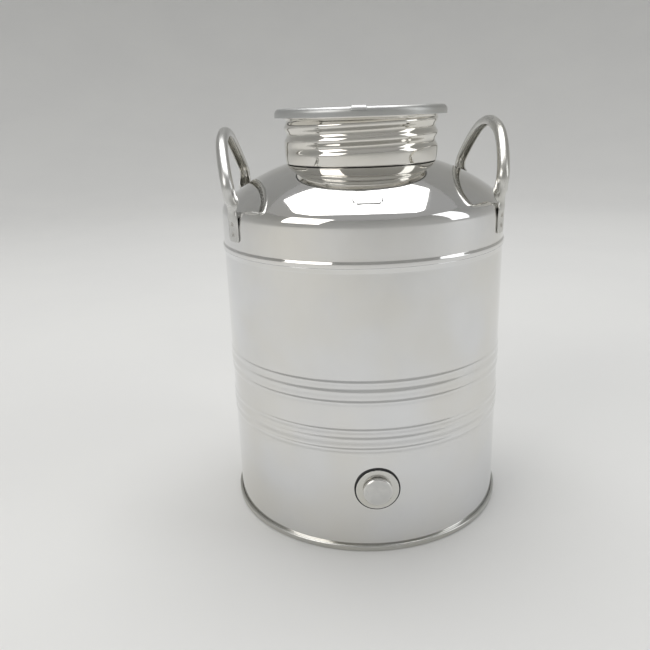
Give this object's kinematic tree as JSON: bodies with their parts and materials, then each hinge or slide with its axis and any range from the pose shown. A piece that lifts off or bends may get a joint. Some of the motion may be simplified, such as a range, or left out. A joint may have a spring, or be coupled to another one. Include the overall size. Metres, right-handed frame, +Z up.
{
  "type": "milk can",
  "caption": "Cylindrical polished steel can with domed shoulder, screw lid with rolled thread and rim, loop handles, stiffening ribs and a plugged drain port",
  "frame": {"origin": "centre of the base, on the plane the can stands on", "axes": "+Z up along the can's axis; the drain port faces -Y; the handles are at -X and +X"},
  "size_m": [0.2248, 0.228, 0.3178],
  "materials": {
    "mirror_steel": "mirror polished",
    "lid_steel": "mirror polished",
    "satin_steel": "satin, rolled strip",
    "handle_steel": "satin, rolled strip",
    "weld_steel": "brushed weld",
    "turned_steel": "turned face",
    "inner_steel": "mill finish",
    "black_rubber": "matte",
    "white_silicone": "satin"
  },
  "bodies": {
    "can": {"body_shell": "mirror_steel", "body_side_weld": "weld_steel", "bottom_disc": "inner_steel", "bottom_seam_ring": "satin_steel", "shoulder_top": "mirror_steel", "shoulder_weld": "weld_steel", "shoulder_emboss": "mirror_steel", "neck_collar": "lid_steel", "neck_weld": "weld_steel", "mouth_ring": "lid_steel", "left_handle": "handle_steel", "right_handle": "handle_steel", "handle_spot_welds": "weld_steel", "port_outer_gasket": "black_rubber", "port_seat": "satin_steel", "port_inner_gasket": "black_rubber", "port_lock_nut": "turned_steel"},
    "lid_seal": {"lid_gasket": "white_silicone"},
    "lid": {"lid_skirt": "lid_steel", "lid_plate": "lid_steel", "lid_rim_ring": "satin_steel", "rim_clip": "satin_steel"},
    "plug_seal": {"plug_gasket": "black_rubber"},
    "plug": {"drain_plug": "turned_steel"}
  },
  "joints": [
    {"name": "lid_rise", "type": "slide", "parent": "can", "child": "lid_seal", "axis": [0, 0, 1], "range_m": [0, 0.0409]},
    {"name": "lid_turn", "type": "hinge", "parent": "lid_seal", "child": "lid", "pos_m": [0, 0, 0.29], "axis": [0, 0, 1], "range_deg": [0, 1440]},
    {"name": "plug_out", "type": "slide", "parent": "can", "child": "plug_seal", "axis": [0, -1, 0], "range_m": [0, 0.0136]},
    {"name": "plug_turn", "type": "hinge", "parent": "plug_seal", "child": "plug", "pos_m": [0, -0.112, 0.0518], "axis": [0, -1, 0], "range_deg": [0, 3240]}
  ],
  "couplings": [
    {"joint": "lid_rise", "follows": "lid_turn", "m_per_rad": 0.0016234},
    {"joint": "plug_out", "follows": "plug_turn", "m_per_rad": 0.00023873}
  ]
}
